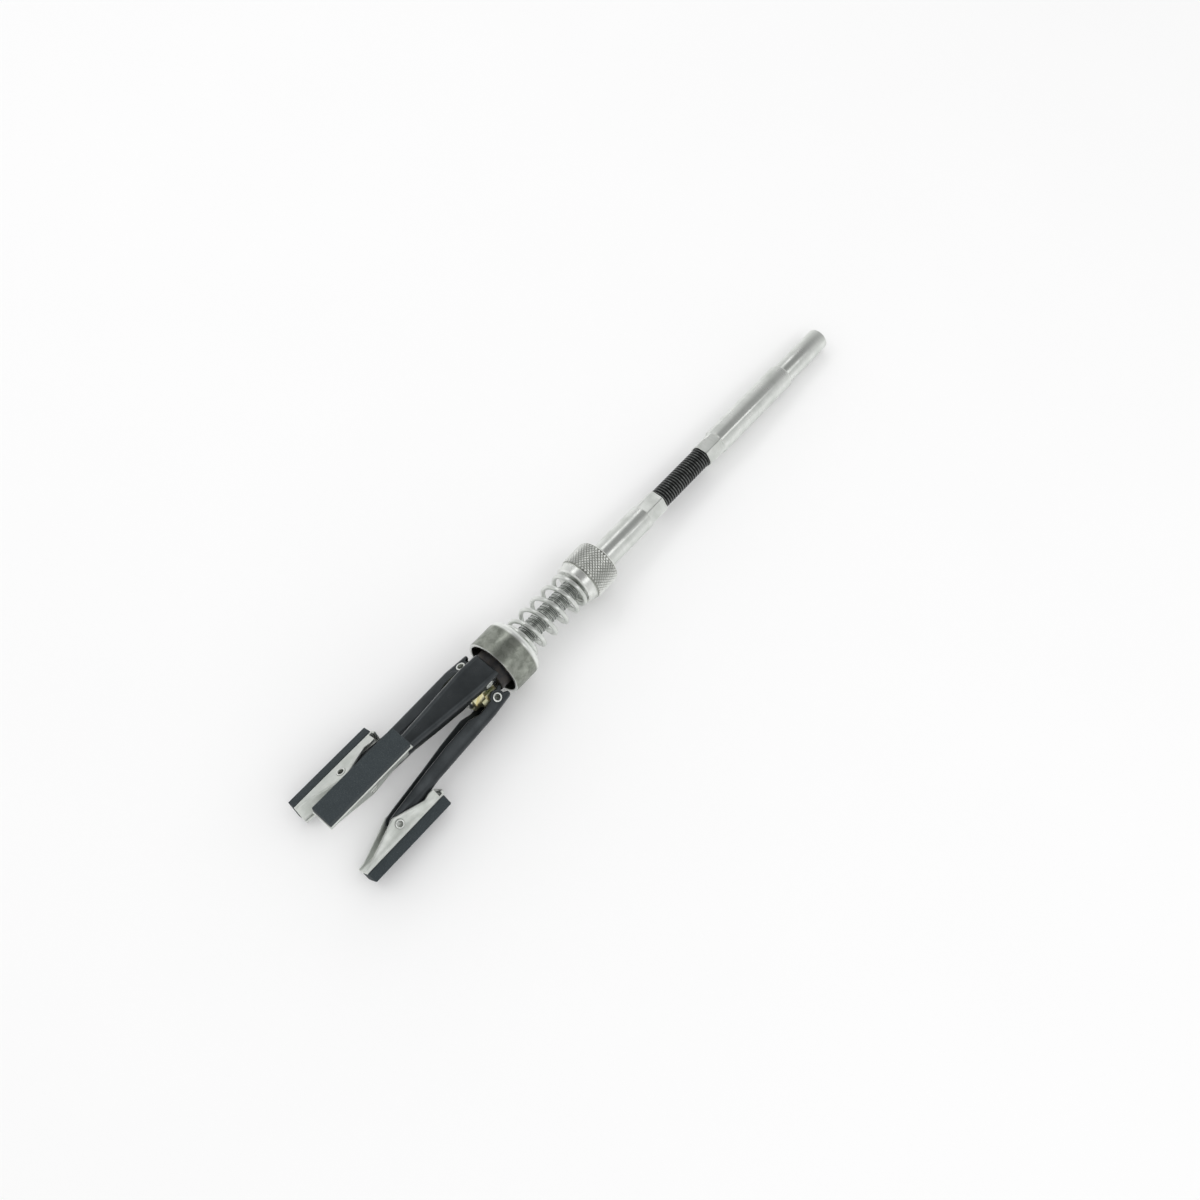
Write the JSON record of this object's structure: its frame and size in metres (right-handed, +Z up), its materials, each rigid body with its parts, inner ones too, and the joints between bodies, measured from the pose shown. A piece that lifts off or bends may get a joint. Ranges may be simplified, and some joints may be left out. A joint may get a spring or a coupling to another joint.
{
  "type": "cylinder hone",
  "caption": "Small cylinder hone: stones on sprung swinging arms, opened by a nut, spring and cup, driven through a flexible coil shaft.",
  "frame": {"origin": "centre of the drive shank's end face", "axes": "+X along the tool's axis and out of the shank's end, +Z up through the first arm"},
  "size_m": [0.2183, 0.0328, 0.0286],
  "materials": {
    "zinc_steel": "bright zinc plate",
    "pressed_steel": "satin zinc plate",
    "black_steel": "black oxide",
    "blued_steel": "blackened steel",
    "dark_bush": "dark oxide",
    "yellow_zinc": "yellow zinc plate",
    "abrasive": "fine grit, matt"
  },
  "bodies": {
    "head": {"spindle": "zinc_steel", "hub": "yellow_zinc", "hub_pin_top": "zinc_steel", "hub_pin_near": "zinc_steel", "hub_pin_far": "zinc_steel"},
    "nut": {"adjusting_nut": "zinc_steel"},
    "spring_carrier": {"tension_spring": "zinc_steel"},
    "cup": {"pressure_cup": "pressed_steel", "thrust_sleeve": "dark_bush"},
    "flex_mid": {"flex_coil": "black_steel"},
    "shank": {"drive_shank": "zinc_steel"},
    "arm_body_top": {"arm_top": "blued_steel", "stone_pin_top": "zinc_steel"},
    "holder_body_top": {"stone_holder_top": "pressed_steel", "stone_top": "abrasive"},
    "arm_body_near": {"arm_near": "blued_steel", "stone_pin_near": "zinc_steel"},
    "holder_body_near": {"stone_holder_near": "pressed_steel", "stone_near": "abrasive"},
    "arm_body_far": {"arm_far": "blued_steel", "stone_pin_far": "zinc_steel"},
    "holder_body_far": {"stone_holder_far": "pressed_steel", "stone_far": "abrasive"}
  },
  "joints": [
    {"name": "arm_top_swing", "type": "hinge", "parent": "head", "child": "arm_body_top", "pos_m": [-0.1605, 0, 0.0055], "axis": [0, 1, 0], "range_deg": [-6, 19.8], "stiffness_Nm_per_rad": 1.5},
    {"name": "stone_top_tilt", "type": "hinge", "parent": "arm_body_top", "child": "holder_body_top", "pos_m": [-0.20328, 0, 0.01075], "axis": [0, 1, 0], "range_deg": [-20, 6.2]},
    {"name": "arm_near_swing", "type": "hinge", "parent": "head", "child": "arm_body_near", "pos_m": [-0.1605, -0.00476, -0.00275], "axis": [0, -0.5, 0.866], "range_deg": [-6, 19.8]},
    {"name": "stone_near_tilt", "type": "hinge", "parent": "arm_body_near", "child": "holder_body_near", "pos_m": [-0.20328, -0.00931, -0.00537], "axis": [0, -0.5, 0.866], "range_deg": [-20, 6.2]},
    {"name": "arm_far_swing", "type": "hinge", "parent": "head", "child": "arm_body_far", "pos_m": [-0.1605, 0.00476, -0.00275], "axis": [0, -0.5, -0.866], "range_deg": [-6, 19.8]},
    {"name": "stone_far_tilt", "type": "hinge", "parent": "arm_body_far", "child": "holder_body_far", "pos_m": [-0.20328, 0.00931, -0.00537], "axis": [0, -0.5, -0.866], "range_deg": [-20, 6.2]},
    {"name": "cup_slide", "type": "slide", "parent": "head", "child": "cup", "axis": [-1, 0, 0], "range_m": [-0.00023, 0.000736]},
    {"name": "nut_feed", "type": "slide", "parent": "head", "child": "spring_carrier", "axis": [-1, 0, 0], "range_m": [0, 0.008], "deforming": ["tension_spring"]},
    {"name": "nut_turn", "type": "hinge", "parent": "spring_carrier", "child": "nut", "pos_m": [-0.1145, 0, 0], "axis": [-1, 0, 0], "range_deg": [0, 2882]},
    {"name": "shaft_flex_up", "type": "hinge", "parent": "head", "child": "flex_mid", "pos_m": [-0.0715, 0, 0], "axis": [0, 1, 0], "range_deg": [-20, 20], "stiffness_Nm_per_rad": 1, "deforming": ["flex_coil"]},
    {"name": "shaft_flex_side", "type": "hinge", "parent": "flex_mid", "child": "shank", "pos_m": [-0.0715, 0, 0], "axis": [0, 0, 1], "range_deg": [-20, 20], "stiffness_Nm_per_rad": 1, "deforming": ["flex_coil"]}
  ],
  "couplings": [
    {"joint": "stone_top_tilt", "follows": "arm_top_swing", "ratio": -1},
    {"joint": "arm_near_swing", "follows": "arm_top_swing", "ratio": 1},
    {"joint": "stone_near_tilt", "follows": "arm_top_swing", "ratio": -1},
    {"joint": "arm_far_swing", "follows": "arm_top_swing", "ratio": 1},
    {"joint": "stone_far_tilt", "follows": "arm_top_swing", "ratio": -1},
    {"joint": "cup_slide", "follows": "arm_top_swing", "m_per_rad": 0.0021},
    {"joint": "nut_turn", "follows": "nut_feed", "rad_per_m": 6283.2}
  ]
}
